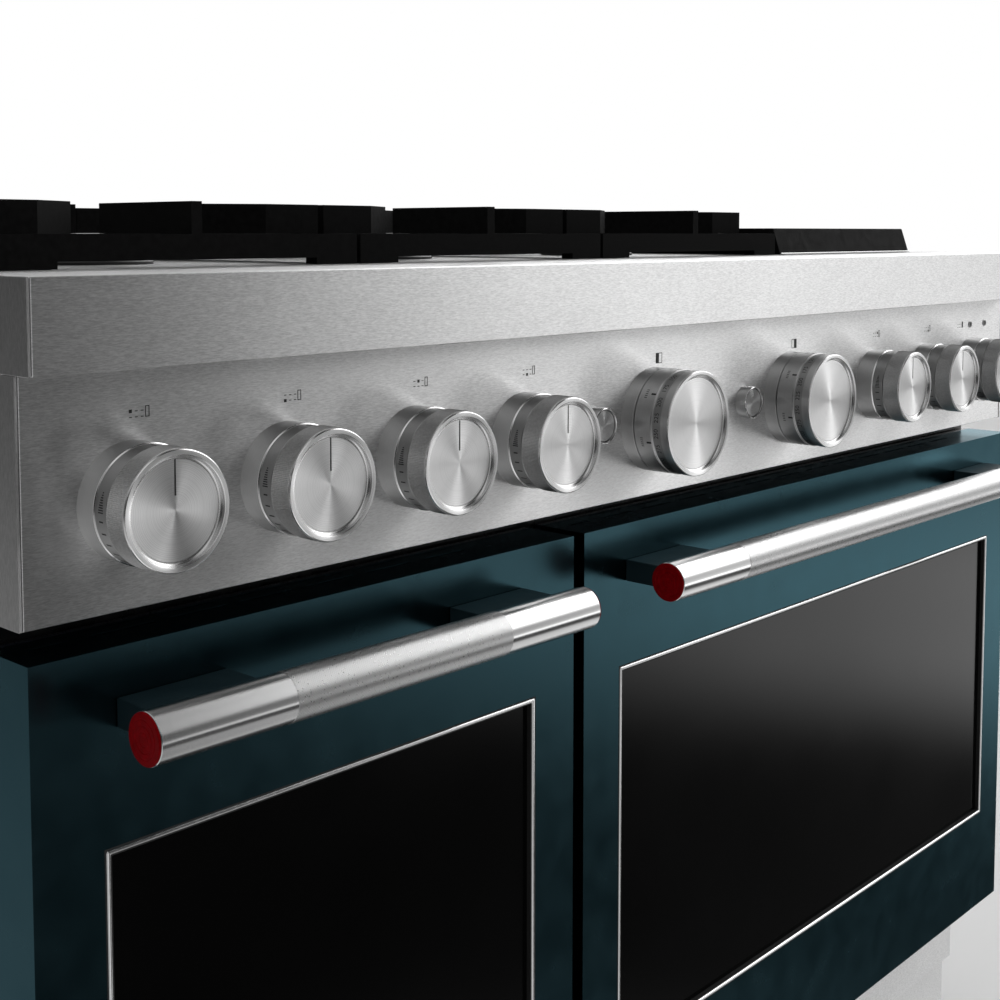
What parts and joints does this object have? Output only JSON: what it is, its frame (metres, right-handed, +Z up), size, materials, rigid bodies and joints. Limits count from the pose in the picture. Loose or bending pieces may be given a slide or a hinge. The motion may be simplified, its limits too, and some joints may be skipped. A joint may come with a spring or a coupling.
{
  "type": "freestanding gas range",
  "caption": "Freestanding gas range with cast-iron grates, a griddle, a steel control panel with knobs, and two ovens behind teal drop-down doors with bar handles.",
  "frame": {"origin": "floor level under the middle of the range, handles included", "axes": "+X to the right as seen from the front, +Y to the back, +Z up"},
  "size_m": [1.216, 0.736, 0.9573],
  "materials": {
    "stainless_steel": "horizontal brushed, satin",
    "galvanised_steel": "dull zinc",
    "black_enamel": "gloss porcelain enamel",
    "burner_enamel": "matte enamel",
    "cast_iron": "matte enamelled casting",
    "griddle_iron": "smooth dark coating",
    "teal_paint": "satin teal paint",
    "bracket_paint": "satin teal paint",
    "trim_chrome": "bright bevelled trim",
    "black_glass": "black tempered glass",
    "handle_steel": "brushed ends, ribbed middle",
    "red_enamel": "deep red enamel",
    "rack_chrome": "plated wire",
    "knob_steel": "spun face, knurled edge"
  },
  "bodies": {
    "chassis": {"left_side_panel": "stainless_steel", "right_side_panel": "stainless_steel", "back_panel": "galvanised_steel", "base_pan": "galvanised_steel", "front_left_leg": "galvanised_steel", "front_right_leg": "galvanised_steel", "rear_left_leg": "galvanised_steel", "rear_right_leg": "galvanised_steel", "kick_plate": "stainless_steel", "front_frame": "black_enamel", "left_oven_cavity": "black_enamel", "right_oven_cavity": "black_enamel", "control_panel": "stainless_steel", "front_trim": "stainless_steel", "cooktop_tray": "stainless_steel", "rear_trim": "stainless_steel", "front_left_burner": "burner_enamel", "rear_left_burner": "burner_enamel", "front_centre_burner": "burner_enamel", "rear_centre_burner": "burner_enamel", "front_right_burner": "burner_enamel", "rear_right_burner": "burner_enamel", "griddle_burner": "galvanised_steel"},
    "left_door": {"left_door_skin": "teal_paint", "left_window_trim": "trim_chrome", "left_window_glass": "black_glass", "left_door_liner": "black_enamel", "left_handle_bar": "handle_steel", "left_handle_bracket_a": "bracket_paint", "left_handle_bracket_b": "bracket_paint", "left_handle_cap_a": "red_enamel", "left_handle_cap_b": "red_enamel"},
    "right_door": {"right_door_skin": "teal_paint", "right_window_trim": "trim_chrome", "right_window_glass": "black_glass", "right_door_liner": "black_enamel", "right_handle_bar": "handle_steel", "right_handle_bracket_a": "bracket_paint", "right_handle_bracket_b": "bracket_paint", "right_handle_cap_a": "red_enamel", "right_handle_cap_b": "red_enamel"},
    "burner_knob_1": {"burner_knob_1": "knob_steel"},
    "burner_knob_2": {"burner_knob_2": "knob_steel"},
    "burner_knob_3": {"burner_knob_3": "knob_steel"},
    "burner_knob_4": {"burner_knob_4": "knob_steel"},
    "burner_knob_5": {"burner_knob_5": "knob_steel"},
    "burner_knob_6": {"burner_knob_6": "knob_steel"},
    "burner_knob_7": {"burner_knob_7": "knob_steel"},
    "left_mode_ring": {"left_oven_mode_ring": "knob_steel"},
    "left_oven_knob": {"left_oven_knob": "knob_steel"},
    "left_oven_button": {"left_oven_button": "knob_steel"},
    "right_mode_ring": {"right_oven_mode_ring": "knob_steel"},
    "right_oven_knob": {"right_oven_knob": "knob_steel"},
    "right_oven_button": {"right_oven_button": "knob_steel"},
    "left_rack": {"left_oven_rack": "rack_chrome"},
    "right_rack": {"right_oven_rack": "rack_chrome"},
    "left_grate": {"left_grate": "cast_iron"},
    "centre_grate": {"centre_grate": "cast_iron"},
    "right_grate": {"right_grate": "cast_iron"},
    "griddle": {"griddle_plate": "griddle_iron"}
  },
  "joints": [
    {"name": "left_door_hinge", "type": "hinge", "parent": "chassis", "child": "left_door", "pos_m": [-0.38475, -0.258, 0.174], "axis": [1, 0, 0], "range_deg": [0, 90], "stiffness_Nm_per_rad": 14, "springref_deg": -18.33},
    {"name": "right_door_hinge", "type": "hinge", "parent": "chassis", "child": "right_door", "pos_m": [0.2295, -0.258, 0.174], "axis": [1, 0, 0], "range_deg": [0, 90], "stiffness_Nm_per_rad": 22, "springref_deg": -18.33},
    {"name": "burner_knob_1_turn", "type": "hinge", "parent": "chassis", "child": "burner_knob_1", "pos_m": [-0.5385, -0.329, 0.787], "axis": [0, -1, 0], "range_deg": [0, 270]},
    {"name": "burner_knob_2_turn", "type": "hinge", "parent": "chassis", "child": "burner_knob_2", "pos_m": [-0.429, -0.329, 0.787], "axis": [0, -1, 0], "range_deg": [0, 270]},
    {"name": "burner_knob_3_turn", "type": "hinge", "parent": "chassis", "child": "burner_knob_3", "pos_m": [-0.3195, -0.329, 0.787], "axis": [0, -1, 0], "range_deg": [0, 270]},
    {"name": "burner_knob_4_turn", "type": "hinge", "parent": "chassis", "child": "burner_knob_4", "pos_m": [-0.21, -0.329, 0.787], "axis": [0, -1, 0], "range_deg": [0, 270]},
    {"name": "burner_knob_5_turn", "type": "hinge", "parent": "chassis", "child": "burner_knob_5", "pos_m": [0.3095, -0.329, 0.787], "axis": [0, -1, 0], "range_deg": [0, 270]},
    {"name": "burner_knob_6_turn", "type": "hinge", "parent": "chassis", "child": "burner_knob_6", "pos_m": [0.419, -0.329, 0.787], "axis": [0, -1, 0], "range_deg": [0, 270]},
    {"name": "burner_knob_7_turn", "type": "hinge", "parent": "chassis", "child": "burner_knob_7", "pos_m": [0.5285, -0.329, 0.787], "axis": [0, -1, 0], "range_deg": [0, 270]},
    {"name": "left_mode_ring_turn", "type": "hinge", "parent": "chassis", "child": "left_mode_ring", "pos_m": [-0.0535, -0.312, 0.787], "axis": [0, 1, 0], "range_deg": [0, 270]},
    {"name": "left_oven_knob_turn", "type": "hinge", "parent": "chassis", "child": "left_oven_knob", "pos_m": [-0.0535, -0.329, 0.787], "axis": [0, 1, 0], "range_deg": [0, 300]},
    {"name": "left_oven_button_press", "type": "slide", "parent": "chassis", "child": "left_oven_button", "axis": [0, 1, 0], "range_m": [0, 0.003], "stiffness_N_per_m": 300, "springref_m": -0.003},
    {"name": "right_mode_ring_turn", "type": "hinge", "parent": "chassis", "child": "right_mode_ring", "pos_m": [0.153, -0.312, 0.787], "axis": [0, 1, 0], "range_deg": [0, 270]},
    {"name": "right_oven_knob_turn", "type": "hinge", "parent": "chassis", "child": "right_oven_knob", "pos_m": [0.153, -0.329, 0.787], "axis": [0, 1, 0], "range_deg": [0, 300]},
    {"name": "right_oven_button_press", "type": "slide", "parent": "chassis", "child": "right_oven_button", "axis": [0, 1, 0], "range_m": [0, 0.003], "stiffness_N_per_m": 300, "springref_m": -0.003},
    {"name": "left_rack_slide", "type": "slide", "parent": "chassis", "child": "left_rack", "axis": [0, -1, 0], "range_m": [0, 0.03]},
    {"name": "right_rack_slide", "type": "slide", "parent": "chassis", "child": "right_rack", "axis": [0, -1, 0], "range_m": [0, 0.03]},
    {"name": "left_grate_lift", "type": "slide", "parent": "chassis", "child": "left_grate", "axis": [0, 0, 1], "range_m": [0, 0.06]},
    {"name": "centre_grate_lift", "type": "slide", "parent": "chassis", "child": "centre_grate", "axis": [0, 0, 1], "range_m": [0, 0.06]},
    {"name": "right_grate_lift", "type": "slide", "parent": "chassis", "child": "right_grate", "axis": [0, 0, 1], "range_m": [0, 0.06]},
    {"name": "griddle_lift", "type": "slide", "parent": "chassis", "child": "griddle", "axis": [0, 0, 1], "range_m": [0, 0.06]}
  ]
}
